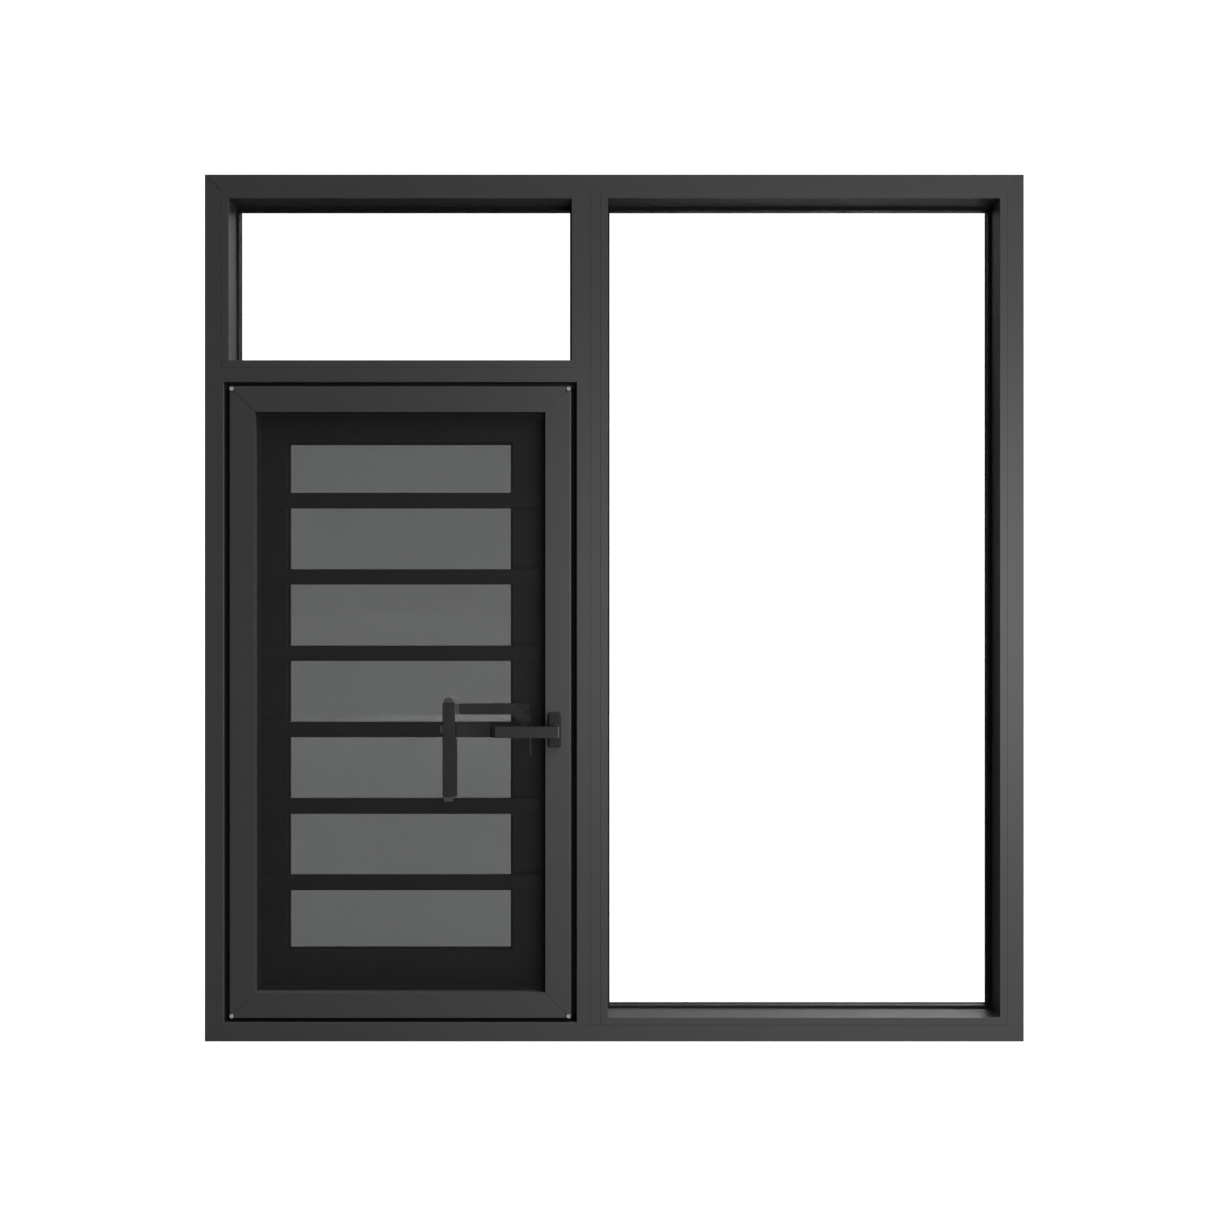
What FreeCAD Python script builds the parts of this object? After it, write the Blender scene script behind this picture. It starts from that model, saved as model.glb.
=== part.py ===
import FreeCAD, Part
import math
import os
from collections import namedtuple

# Combination window of thermally broken aluminium, seen from the room.
# One tall fixed picture pane stands on the right. On the left a small fixed
# light is over an outward opening glazed sash, which has a screen sash in
# front of it and six guard bars between the two.
# Millimetres. X is to the right, Y is from the room to the outside, Z is up.
# The origin is under the middle of the sill, halfway through its depth.
# A depth is measured from the room face of the frame towards the outside.

# Outer frame
FRAME_WIDTH = 1450.0
FRAME_HEIGHT = 1535.0
FRAME_DEPTH = 120.0
FRAME_LIP = 33.8          # room face of the head, sill and jambs
FRAME_EDGE = 1.2          # rounding of the frame's long edges
LIP_DEPTH = 14.0          # thickness of the lips on the room side
POCKET_DEPTH = 9.8        # how far the glazing pocket is cut behind the lip
OUTER_LIP_STEP = 10.5     # how far the outside lip stands in past the room lip
OUTER_SPLAY = 13.5        # how far the outside lip leans back by the outside face
JOINT = 0.8               # width and depth of a fine joint line
MITRE_REACH = 120.0       # longer than any profile is wide

# Bars that divide the frame
MULLION_LIP = 46.8
MULLION_LINE = 24.3       # joint line along the mullion, from its sash side
TRANSOM_LIP = 30.3
SASH_BAY_WIDTH = 624.4
SASH_BAY_HEIGHT = 1133.3

# Plastic strips that part the inner and outer aluminium of the frame
BREAK_START = 64.0
BREAK_WIDTH = 24.0
BREAK_GROOVE = 4.0
BREAK_RECESS = 1.5

# Drain slots through the outside of the sill
DRAIN_COUNT = 3
DRAIN_LENGTH = 30.0
DRAIN_HEIGHT = 6.0
DRAIN_DEPTH = 5.0
DRAIN_MIDDLE = 12.0       # above the sill's underside

# Glazing beads
BEAD_LAP = 4.5            # how far the bead covers the lip
BEAD_FLANGE = 1.2         # thickness of the part that lies flush in the lip
BEAD_BODY = 8.7           # bead inside the lip
BEAD_DEPTH = 51.5
BEAD_EDGE = 0.6

# Double glazing
GASKET = 3.0              # rubber thickness at each side of the glass
GASKET_SIGHT = 3.7        # rubber that shows past the bead
GASKET_START = 1.0
PANE = 5.0
GLASS_CAVITY = 16.0
GLASS_COVER = 4.0         # pane edge behind the lip's edge
SPACER_OUT = 2.0
SPACER_IN = 9.5

# Stop frame that lines the sash bay and carries the guard bars
STOP_FRONT = 32.0
STOP_BACK = 62.0
STOP_FACE = 48.0          # from the edge of the lip to the stop's inner face
STOP_EDGE = 1.0

# Screen sash
SCREEN_SIDE_GAP = 9.5
SCREEN_END_GAP = 7.0
SCREEN_FACE = 46.0
SCREEN_DEPTH = 29.0
SCREEN_RETURN = 14.5      # depth of the mesh behind the sash face
SCREEN_EDGE = 0.6
SCREEN_ROUND = 2.5        # rounding of the sash's outer edge
SCREEN_HEEL = 4.0         # back leg that reaches past the face
SCREEN_GROOVE = 7.5
SCREEN_GROOVE_IN = 6.0
MESH_THICKNESS = 1.6
MESH_CLAMP = 5.0          # mesh held inside the groove
SPLINE_SIGHT = 5.7
CORNER_KEY = 9.0
CORNER_KEY_DEPTH = 6.0
CORNER_KEY_ROUND = 2.5

# Rubber seal between the screen sash and the stop frame
SCREEN_SEAL_OUT = 2.6
SCREEN_SEAL_IN = 17.0
SCREEN_BULB = 4.2
SCREEN_BULB_RISE = 4.0
SCREEN_SEAL_ROUND = 7.0

# Glazed sash
SASH_GAP = 5.9            # between the sash and the outside lip
SASH_STILE_LEFT = 79.8
SASH_STILE_RIGHT = 100.8
SASH_RAIL_TOP = 81.4
SASH_RAIL_BOTTOM = 92.0
SASH_BACK = 118.0         # outside face of the sash
SASH_BEAD_DEPTH = 10.0
SASH_EDGE = 1.0
SASH_POCKET = 12.0
SASH_SIGHT = 4.0
SASH_OUTER_STEP = 5.0     # how far the outside lip stands back from the room lip
SASH_SPACER_IN = 1.0      # spacer behind the edge of the room lip
SASH_SEAL = 4.0
SASH_SEAL_START = 3.0
SASH_SEAL_WIDTH = 18.0

# Guard bars
BAR_COUNT = 6
BAR_HEIGHT = 27.8
BAR_DEPTH = 9.0
BAR_FRONT = 44.0
BAR_PITCH = 138.0
BAR_BOTTOM_MARGIN = 237.6  # from the sash bay's lower edge to the lowest bar's middle
BAR_BEADING = 3.0
BAR_HOLLOW = 0.8
BAR_EDGE = 0.8
PLATE_BAR = 4             # the bar that carries a cover plate
PLATE_INSET = 156.0       # from the sash bay's right edge to the plate
PLATE_LENGTH = 61.5
PLATE_THICK = 1.6
PLATE_MARGIN = 0.6

# Lever handle of the screen sash
SCREEN_HANDLE_HEIGHT = 518.7   # above the sash bay's lower edge
SCREEN_HANDLE_INSET = 38.6     # from the sash bay's right edge
SCREEN_PLATE_WIDTH = 23.0
SCREEN_PLATE_HEIGHT = 62.0
SCREEN_PLATE_THICK = 8.0
SCREEN_PLATE_ROUND = 4.5
SCREEN_LEVER_LENGTH = 124.0
SCREEN_LEVER_TAIL = 13.0
SCREEN_LEVER_HEIGHT = 19.2
SCREEN_LEVER_THICK = 12.0
SCREEN_LEVER_STANDOFF = 30.0
SCREEN_LEVER_ELBOW = 10.0
SCREEN_NECK = 8.5

# Cranked handle of the glazed sash, which reaches in between two guard bars
SASH_HANDLE_HEIGHT = 534.2     # above the sash bay's lower edge
SASH_HANDLE_INSET = 91.2       # from the sash bay's right edge
SASH_PLATE_WIDTH = 25.4
SASH_PLATE_HEIGHT = 58.0
SASH_PLATE_THICK = 6.0
SASH_PLATE_ROUND = 4.0
SASH_PLATE_DROP = 3.9
SASH_PLATE_SIDE = 7.5
SASH_PLATE_SPLIT = 12.6        # from the plate's top to the line between its two blocks
SASH_SPINDLE = 5.5
ARM_HEIGHT = 19.5
ARM_THICK = 11.5
ARM_FRONT = 30.5
ARM_RISE = 17.9                # from the spindle to the level arm's middle
ARM_CRANK = 27.5
ARM_LENGTH = 119.7
ARM_TAIL = 9.5
ARM_ROUND = 3.0
KNUCKLE_LENGTH = 8.6
KNUCKLE_HEIGHT = 17.0
KNUCKLE_THICK = 8.0
GRIP_WIDTH = 21.7
GRIP_THICK = 11.5
GRIP_LENGTH = 169.5
GRIP_ABOVE = 11.5              # grip's top above the level arm's middle
GRIP_ROUND = 3.5
GRIP_SWELL = 4.2               # how much wider the lower part is
GRIP_SWELL_HEIGHT = 100.0
GRIP_SWELL_RUN = 10.0
GRIP_CORE_THICK = 7.0          # inner piece that shows at both ends of the grip
GRIP_CORE_INSET = 1.6
GRIP_CORE_TOP = 9.2
GRIP_CORE_FOOT = 8.2
GRIP_CORE_TAPER = 2.0
GRIP_PIN_SIDE = 3.8
GRIP_PIN_HEIGHT = 12.6
GRIP_PIN_DROP = 36.7           # from the level arm's middle to the side pin's middle

Box = namedtuple("Box", "left right bottom top")
SIDES = ("left", "right", "bottom", "top")


def depth(value):
    """Y of a depth behind the room face."""
    return value - FRAME_DEPTH / 2


def grown(box, by):
    """The same rectangle, moved outwards by a distance on every side."""
    return Box(box.left - by, box.right + by, box.bottom - by, box.top + by)


def inset(box, left, right, bottom, top):
    """The same rectangle with its own inset on each side."""
    return Box(box.left + left, box.right - right, box.bottom + bottom, box.top - top)


def whole_frame():
    """Outside of the frame."""
    return Box(-FRAME_WIDTH / 2, FRAME_WIDTH / 2, 0.0, FRAME_HEIGHT)


def sash_bay():
    """Clear rectangle between the lips round the opening sashes."""
    clear = grown(whole_frame(), -FRAME_LIP)
    return Box(clear.left, clear.left + SASH_BAY_WIDTH, clear.bottom, clear.bottom + SASH_BAY_HEIGHT)


def upper_light():
    """Clear rectangle of the small fixed light over the sash bay."""
    clear = grown(whole_frame(), -FRAME_LIP)
    bay = sash_bay()
    return Box(bay.left, bay.right, bay.top + TRANSOM_LIP, clear.top)


def picture_light():
    """Clear rectangle of the tall fixed pane."""
    clear = grown(whole_frame(), -FRAME_LIP)
    return Box(sash_bay().right + MULLION_LIP, clear.right, clear.bottom, clear.top)


def rounded_wire(corners, place):
    """A closed wire through corners (a, b, radius), where place makes (a, b) a point."""
    edges = []
    ends = []
    for index, (a, b, radius) in enumerate(corners):
        here = FreeCAD.Vector(a, b, 0)
        before = FreeCAD.Vector(*corners[index - 1][:2], 0) - here
        after = FreeCAD.Vector(*corners[(index + 1) % len(corners)][:2], 0) - here
        if radius == 0:
            ends.append((here, here))
            continue
        before.normalize()
        after.normalize()
        half = before.getAngle(after) / 2
        run = radius / math.tan(half)
        middle = before + after
        middle.normalize()
        start = here + before * run
        finish = here + after * run
        crown = here + middle * (radius / math.sin(half) - radius)
        ends.append((start, finish))
        arc = Part.Arc(place(start.x, start.y), place(crown.x, crown.y), place(finish.x, finish.y))
        edges.append(arc.toShape())
    for index, (start, finish) in enumerate(ends):
        target = ends[(index + 1) % len(ends)][0]
        if finish.distanceToPoint(target) > 1e-6:
            edges.append(Part.makeLine(place(finish.x, finish.y), place(target.x, target.y)))
    return Part.Wire(Part.__sortEdges__(edges))


def prism(corners, place, run):
    """A solid with the outline of the corners, swept straight by the vector run."""
    return Part.Face(rounded_wire(corners, place)).extrude(run)


def block(box, front, back):
    """A plain block over a rectangle, from one depth to another."""
    size = (box.right - box.left, back - front, box.top - box.bottom)
    return Part.makeBox(*size, FreeCAD.Vector(box.left, depth(front), box.bottom))


def plate(box, front, back, radius):
    """A block with its four corners rounded, as seen from the room."""
    corners = [
        (box.left, box.bottom, radius),
        (box.right, box.bottom, radius),
        (box.right, box.top, radius),
        (box.left, box.top, radius),
    ]

    def place(a, b):
        return FreeCAD.Vector(a, depth(front), b)

    return prism(corners, place, FreeCAD.Vector(0, back - front, 0))


def ring(box, start, finish, front, back):
    """A square cornered ring inside a rectangle, between two insets."""
    return block(grown(box, -start), front, back).cut(block(grown(box, -finish), front, back))


def side_axes(box, side):
    """Start corner, direction along, direction inwards and length of one side."""
    along_x = FreeCAD.Vector(1, 0, 0)
    along_z = FreeCAD.Vector(0, 0, 1)
    width = box.right - box.left
    height = box.top - box.bottom
    if side == "left":
        return FreeCAD.Vector(box.left, 0, box.bottom), along_z, along_x, height
    if side == "right":
        return FreeCAD.Vector(box.right, 0, box.bottom), along_z, -along_x, height
    if side == "bottom":
        return FreeCAD.Vector(box.left, 0, box.bottom), along_x, along_z, width
    return FreeCAD.Vector(box.left, 0, box.top), along_x, -along_z, width


def square_bar(box, side, corners, start=0.0, finish=0.0):
    """A bar on one side of a rectangle, with corners given as (inwards, depth, radius)."""
    origin, along, inward, length = side_axes(box, side)
    origin = origin + along * start

    def place(a, b):
        return origin + inward * a + FreeCAD.Vector(0, depth(b), 0)

    return prism(corners, place, along * (length - start - finish))


def mitred_bar(box, side, corners):
    """The same bar with both ends cut at 45 degrees through the rectangle's corners."""
    origin, along, inward, length = side_axes(box, side)
    outline = [
        origin - inward * MITRE_REACH - along * MITRE_REACH,
        origin + inward * MITRE_REACH + along * MITRE_REACH,
        origin + inward * MITRE_REACH + along * (length - MITRE_REACH),
        origin - inward * MITRE_REACH + along * (length + MITRE_REACH),
    ]
    through = FreeCAD.Vector(0, 4 * FRAME_DEPTH, 0)
    outline = [point - through * 0.5 for point in outline]
    wedge = Part.Face(Part.makePolygon(outline + outline[:1])).extrude(through)
    return square_bar(box, side, corners).common(wedge)


def outer_lip_front():
    """Depth where the outside lip starts, behind the double glazing."""
    return BEAD_DEPTH + GASKET + PANE + GLASS_CAVITY + PANE + GASKET


def frame_outline():
    """Section of the head, sill and jambs, inwards from the frame's outside."""
    web = FRAME_LIP - POCKET_DEPTH
    outer = FRAME_LIP + OUTER_LIP_STEP
    face = outer - OUTER_SPLAY
    return [
        (0, 0, FRAME_EDGE),
        (FRAME_LIP, 0, FRAME_EDGE),
        (FRAME_LIP, LIP_DEPTH, 0),
        (web, LIP_DEPTH, 0),
        (web, outer_lip_front(), 0),
        (outer, outer_lip_front(), 0),
        (face, FRAME_DEPTH, FRAME_EDGE),
        (0, FRAME_DEPTH, FRAME_EDGE),
        (0, BREAK_START + BREAK_WIDTH, 0),
        (BREAK_GROOVE, BREAK_START + BREAK_WIDTH, 0),
        (BREAK_GROOVE, BREAK_START, 0),
        (0, BREAK_START, 0),
    ]


def divider_outline(lip):
    """Section of a bar with glazing on both sides, measured from one lip edge to the other."""
    web = POCKET_DEPTH
    outer = OUTER_LIP_STEP
    face = outer - OUTER_SPLAY
    return [
        (0, 0, FRAME_EDGE),
        (lip, 0, FRAME_EDGE),
        (lip, LIP_DEPTH, 0),
        (lip - web, LIP_DEPTH, 0),
        (lip - web, outer_lip_front(), 0),
        (lip + outer, outer_lip_front(), 0),
        (lip + face, FRAME_DEPTH, FRAME_EDGE),
        (-face, FRAME_DEPTH, FRAME_EDGE),
        (-outer, outer_lip_front(), 0),
        (web, outer_lip_front(), 0),
        (web, LIP_DEPTH, 0),
        (0, LIP_DEPTH, 0),
    ]


def mitre_lines(box, reach):
    """Fine grooves in the room face, along the mitres at a rectangle's corners."""
    half = JOINT / 2
    lines = []
    for x, right in ((box.left, 1), (box.right, -1)):
        for z, up in ((box.bottom, 1), (box.top, -1)):
            outline = [
                (x + right * half, z - up * half, 0),
                (x - right * half, z + up * half, 0),
                (x + right * (reach - half), z + up * (reach + half), 0),
                (x + right * (reach + half), z + up * (reach - half), 0),
            ]
            lines.append(prism(outline, room_point, FreeCAD.Vector(0, JOINT, 0)))
    return Part.Compound(lines)


def room_point(a, b):
    """A point on the frame's room face."""
    return FreeCAD.Vector(a, depth(0), b)


def drain_slots():
    """Level slots through the outside of the sill."""
    pitch = FRAME_WIDTH / DRAIN_COUNT
    slots = []
    for number in range(DRAIN_COUNT):
        x = whole_frame().left + (number + 0.5) * pitch
        slot = Box(x - DRAIN_LENGTH / 2, x + DRAIN_LENGTH / 2,
                   DRAIN_MIDDLE - DRAIN_HEIGHT / 2, DRAIN_MIDDLE + DRAIN_HEIGHT / 2)
        slots.append(plate(slot, FRAME_DEPTH - DRAIN_DEPTH, FRAME_DEPTH, DRAIN_HEIGHT / 2))
    return Part.Compound(slots)


def make_frame():
    """Head, sill and jambs, mitred at the corners."""
    names = {"left": "frame_jamb_left", "right": "frame_jamb_right"}
    names.update({"bottom": "frame_sill", "top": "frame_head"})
    lines = mitre_lines(whole_frame(), FRAME_LIP)
    pieces = {}
    for side in SIDES:
        pieces[names[side]] = mitred_bar(whole_frame(), side, frame_outline()).cut(lines)
    pieces["frame_sill"] = pieces["frame_sill"].cut(drain_slots())
    return pieces


def make_dividers(frame):
    """Mullion and transom, whose ends are cut to the shape of what they meet."""
    bay = sash_bay()
    tall = Box(bay.right, bay.right + MULLION_LIP, 0.0, FRAME_HEIGHT)
    mullion = square_bar(tall, "left", divider_outline(MULLION_LIP))
    for name in ("frame_sill", "frame_head"):
        mullion = mullion.cut(frame[name])
    mullion = largest(mullion)
    wide = Box(whole_frame().left, bay.right + MULLION_LIP / 2, bay.top, bay.top + TRANSOM_LIP)
    transom = square_bar(wide, "bottom", divider_outline(TRANSOM_LIP))
    transom = largest(transom.cut(frame["frame_jamb_left"]).cut(mullion))
    line = bay.right + MULLION_LINE
    groove = block(Box(line - JOINT / 2, line + JOINT / 2, 0.0, FRAME_HEIGHT), 0, JOINT)
    return {"mullion": mullion.cut(groove), "transom": transom}


def seat_beads(pieces):
    """Cuts the lips for the flush beads, and laps the mullion over the head and sill between them."""
    rebates = []
    for light in (picture_light(), upper_light()):
        rebates.append(ring(grown(light, BEAD_LAP), 0, BEAD_LAP, 0, BEAD_FLANGE))
    for name in pieces:
        pieces[name] = pieces[name].cut(Part.Compound(rebates))
    light = picture_light()
    right = light.left - BEAD_LAP
    lap = [(0, 0, BEAD_FLANGE / 2), (BEAD_LAP, 0, 0), (BEAD_LAP, BEAD_FLANGE, 0), (0, BEAD_FLANGE, 0)]
    ends = (("frame_head", "top", upper_light().right + BEAD_LAP),
            ("frame_sill", "bottom", sash_bay().right))
    for name, side, left in ends:
        seat = Box(left, right, light.bottom - BEAD_LAP, light.top + BEAD_LAP)
        inner = Box(left, right, light.bottom, light.top)
        rebate = block(seat, 0, BEAD_FLANGE).cut(block(inner, 0, BEAD_FLANGE))
        pieces[name] = pieces[name].cut(rebate)
        pieces["mullion"] = pieces["mullion"].fuse(square_bar(seat, side, lap)).removeSplitter()


def largest(shape):
    """The biggest solid of a cut."""
    return max(shape.Solids, key=lambda solid: solid.Volume)


def make_thermal_break():
    """Plastic strips in the groove round the outside of the frame."""
    strip = ring(whole_frame(), BREAK_RECESS, BREAK_GROOVE, BREAK_START, BREAK_START + BREAK_WIDTH)
    return {"frame_thermal_break": strip}


def bead_outline():
    """Section of a glazing bead: a flange let into the lip and a deep body inside it."""
    edge = BEAD_LAP + BEAD_BODY
    return [
        (0, 0, BEAD_FLANGE / 2),
        (edge, 0, BEAD_EDGE),
        (edge, BEAD_DEPTH, 0),
        (BEAD_LAP, BEAD_DEPTH, 0),
        (BEAD_LAP, BEAD_FLANGE, 0),
        (0, BEAD_FLANGE, 0),
    ]


def make_beads():
    """Mitred beads round both fixed lights."""
    pieces = {}
    for name, light in (("picture", picture_light()), ("upper", upper_light())):
        for side in SIDES:
            bar = mitred_bar(grown(light, BEAD_LAP), side, bead_outline())
            pieces[name + "_bead_" + side] = bar
    return pieces


def panes(opening, cover, front):
    """Two sheets of glass with a cavity between them, behind the edge of an opening."""
    sheet = grown(opening, cover)
    second = front + PANE + GLASS_CAVITY
    return Part.Compound([block(sheet, front, front + PANE), block(sheet, second, second + PANE)])


def spacer(opening, sight, front):
    """Bar that parts the two sheets, just out of sight behind the rubber."""
    return ring(opening, -SPACER_OUT, sight - SPACER_OUT, front + PANE, front + PANE + GLASS_CAVITY)


def make_fixed_glazing():
    """Panes, spacers and rubber of the two fixed lights."""
    front = BEAD_DEPTH + GASKET
    back = outer_lip_front() - GASKET
    sight = BEAD_BODY + GASKET_SIGHT
    lights = (picture_light(), upper_light())
    rubber = []
    for light in lights:
        rubber.append(ring(light, GASKET_START, sight, BEAD_DEPTH, front))
        rubber.append(ring(light, GASKET_START, OUTER_LIP_STEP, back, back + GASKET))
    return {
        "picture_glass": panes(picture_light(), GLASS_COVER, front),
        "upper_glass": panes(upper_light(), GLASS_COVER, front),
        "picture_spacer": spacer(picture_light(), SPACER_IN + SPACER_OUT, front),
        "upper_spacer": spacer(upper_light(), SPACER_IN + SPACER_OUT, front),
        "glazing_gaskets": Part.Compound(rubber),
    }


def make_stops():
    """Bars that line the sash bay behind the screen sash."""
    outline = [
        (0, STOP_FRONT, 0),
        (POCKET_DEPTH + STOP_FACE, STOP_FRONT, STOP_EDGE),
        (POCKET_DEPTH + STOP_FACE, STOP_BACK, STOP_EDGE),
        (0, STOP_BACK, 0),
    ]
    seat = grown(sash_bay(), POCKET_DEPTH)
    return {"stop_" + side: mitred_bar(seat, side, outline) for side in SIDES}


def screen_box():
    """Outside of the screen sash."""
    return inset(sash_bay(), SCREEN_SIDE_GAP, SCREEN_SIDE_GAP, SCREEN_END_GAP, SCREEN_END_GAP)


def screen_outline():
    """Section of the screen sash, with the groove that holds the mesh."""
    groove = SCREEN_FACE - SCREEN_GROOVE_IN
    heel = SCREEN_RETURN + SCREEN_GROOVE
    return [
        (0, 0, SCREEN_ROUND),
        (SCREEN_FACE, 0, SCREEN_EDGE),
        (SCREEN_FACE, SCREEN_RETURN, 0),
        (groove, SCREEN_RETURN, 0),
        (groove, heel, 0),
        (SCREEN_FACE + SCREEN_HEEL, heel, 0),
        (SCREEN_FACE + SCREEN_HEEL, SCREEN_DEPTH, 0),
        (0, SCREEN_DEPTH, 0),
    ]


def corner_key_boxes():
    """Squares at the four outer corners of the screen sash."""
    box = screen_box()
    return [
        Box(box.left, box.left + CORNER_KEY, box.bottom, box.bottom + CORNER_KEY),
        Box(box.right - CORNER_KEY, box.right, box.bottom, box.bottom + CORNER_KEY),
        Box(box.left, box.left + CORNER_KEY, box.top - CORNER_KEY, box.top),
        Box(box.right - CORNER_KEY, box.right, box.top - CORNER_KEY, box.top),
    ]


def make_screen():
    """Screen sash: four mitred bars, corner keys, mesh and the spline that holds it."""
    box = screen_box()
    names = {"left": "screen_stile_left", "right": "screen_stile_right"}
    names.update({"bottom": "screen_rail_bottom", "top": "screen_rail_top"})
    pockets = [block(corner, 0, CORNER_KEY_DEPTH) for corner in corner_key_boxes()]
    lines = mitre_lines(box, SCREEN_FACE)
    pieces = {}
    for side in SIDES:
        bar = mitred_bar(box, side, screen_outline())
        pieces[names[side]] = bar.cut(Part.Compound(pockets)).cut(lines)
    keys = [plate(corner, 0, CORNER_KEY_DEPTH, CORNER_KEY_ROUND) for corner in corner_key_boxes()]
    pieces["screen_corner_keys"] = Part.Compound(keys)
    mesh_box = grown(box, MESH_CLAMP - SCREEN_FACE)
    mesh_back = SCREEN_RETURN + MESH_THICKNESS
    pieces["screen_mesh"] = block(mesh_box, SCREEN_RETURN, mesh_back)
    spline_start = SCREEN_FACE - SCREEN_GROOVE_IN
    spline_back = SCREEN_RETURN + SCREEN_GROOVE
    spline = ring(box, spline_start, SCREEN_FACE + SPLINE_SIGHT, mesh_back, spline_back)
    pieces["screen_spline"] = spline
    return pieces


def make_screen_seal():
    """Rubber ring on the stop frame, with a round edge that shows in the gap."""
    outer = grown(sash_bay(), -SCREEN_SEAL_OUT)
    inner = grown(sash_bay(), -SCREEN_SEAL_IN)
    bulb = grown(outer, -SCREEN_BULB)
    round_in = SCREEN_SEAL_ROUND - SCREEN_BULB
    base = plate(outer, SCREEN_DEPTH, STOP_FRONT, SCREEN_SEAL_ROUND)
    base = base.cut(block(inner, SCREEN_DEPTH, STOP_FRONT))
    rise = SCREEN_DEPTH - SCREEN_BULB_RISE
    raised = plate(outer, rise, SCREEN_DEPTH, SCREEN_SEAL_ROUND)
    raised = raised.cut(plate(bulb, rise, SCREEN_DEPTH, round_in))
    return {"screen_seal": base.fuse(raised).removeSplitter()}


def sash_front():
    """Depth of the glazed sash's room face."""
    return STOP_BACK + SASH_SEAL


def sash_box():
    """Outside of the glazed sash."""
    return grown(sash_bay(), -(OUTER_LIP_STEP + SASH_GAP))


def sash_opening():
    """Rectangle between the inner edges of the glazed sash."""
    sides = (SASH_STILE_LEFT, SASH_STILE_RIGHT, SASH_RAIL_BOTTOM, SASH_RAIL_TOP)
    return inset(sash_box(), *sides)


def sash_lean():
    """How far the glazed sash's outer edge leans out by its outside face, along the frame's lip."""
    start = outer_lip_front()
    return OUTER_SPLAY * (SASH_BACK - start) / (FRAME_DEPTH - start)


def sash_envelope():
    """The glazed sash's outer form: a straight part, then edges that lean along the frame's lip."""
    box = sash_box()
    start = outer_lip_front()
    lean = sash_lean()
    sections = []
    for side, span in (("left", box.right - box.left), ("bottom", box.top - box.bottom)):
        outline = [
            (0, sash_front(), 0),
            (span, sash_front(), 0),
            (span, start, 0),
            (span + lean, SASH_BACK, 0),
            (-lean, SASH_BACK, 0),
            (0, start, 0),
        ]
        sections.append(square_bar(box, side, outline, -lean, -lean))
    return sections[0].common(sections[1])


def sash_outline(width):
    """Section of a stile or rail, with its pocket for the double glazing."""
    front = sash_front()
    glass_front = front + SASH_BEAD_DEPTH
    glass_back = glass_front + GASKET + PANE + GLASS_CAVITY + PANE + GASKET
    return [
        (0, front, SASH_EDGE),
        (width, front, SASH_EDGE),
        (width, glass_front, 0),
        (width - SASH_POCKET, glass_front, 0),
        (width - SASH_POCKET, glass_back, 0),
        (width - SASH_OUTER_STEP, glass_back, 0),
        (width - SASH_OUTER_STEP, SASH_BACK, SASH_EDGE),
        (-sash_lean(), SASH_BACK, SASH_EDGE),
        (0, outer_lip_front(), 0),
    ]


def make_sash():
    """Glazed sash: two full height stiles, and rails whose ends are cut to the stiles' shape."""
    box = sash_box()
    envelope = sash_envelope()
    beyond = -sash_lean()
    opening = sash_opening()
    lines = []
    for level in (opening.bottom, opening.top):
        line = Box(box.left, box.right, level - JOINT / 2, level + JOINT / 2)
        lines.append(block(line, sash_front(), sash_front() + JOINT))
    left = square_bar(box, "left", sash_outline(SASH_STILE_LEFT), beyond, beyond).common(envelope)
    right = square_bar(box, "right", sash_outline(SASH_STILE_RIGHT), beyond, beyond).common(envelope)
    pieces = {
        "sash_stile_left": left.cut(Part.Compound(lines)),
        "sash_stile_right": right.cut(Part.Compound(lines)),
    }
    start = SASH_STILE_LEFT - SASH_POCKET
    finish = SASH_STILE_RIGHT - SASH_POCKET
    for side, width in (("top", SASH_RAIL_TOP), ("bottom", SASH_RAIL_BOTTOM)):
        rail = square_bar(box, side, sash_outline(width), start, finish)
        pieces["sash_rail_" + side] = largest(rail.cut(left).cut(right))
    return pieces


def make_sash_glazing():
    """Panes, spacer and rubber of the glazed sash."""
    opening = sash_opening()
    rubber_front = sash_front() + SASH_BEAD_DEPTH
    glass_front = rubber_front + GASKET
    glass_back = glass_front + PANE + GLASS_CAVITY + PANE
    cover = SASH_POCKET - GLASS_COVER
    rubber = [
        ring(opening, GASKET_START - cover, SASH_SIGHT, rubber_front, glass_front),
        ring(opening, GASKET_START - cover, GASKET_START - SASH_OUTER_STEP,
             glass_back, glass_back + GASKET),
    ]
    return {
        "sash_glass": panes(opening, cover, glass_front),
        "sash_spacer": ring(opening, SPACER_OUT - cover, -SASH_SPACER_IN,
                            glass_front + PANE, glass_back - PANE),
        "sash_gaskets": Part.Compound(rubber),
    }


def make_sash_seal():
    """Rubber ring between the stop frame and the glazed sash."""
    start = SASH_SEAL_START
    seal = ring(sash_box(), start, start + SASH_SEAL_WIDTH, STOP_BACK, sash_front())
    return {"sash_seal": seal}


def bar_outline():
    """Section of a guard bar: a shallow channel between two raised edges."""
    top = BAR_HEIGHT
    edge = BAR_BEADING
    front = BAR_FRONT
    floor = BAR_FRONT + BAR_HOLLOW
    return [
        (0, front, BAR_EDGE / 2),
        (edge, front, 0),
        (edge, floor, 0),
        (top - edge, floor, 0),
        (top - edge, front, 0),
        (top, front, BAR_EDGE / 2),
        (top, front + BAR_DEPTH, BAR_EDGE),
        (0, front + BAR_DEPTH, BAR_EDGE),
    ]


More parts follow.
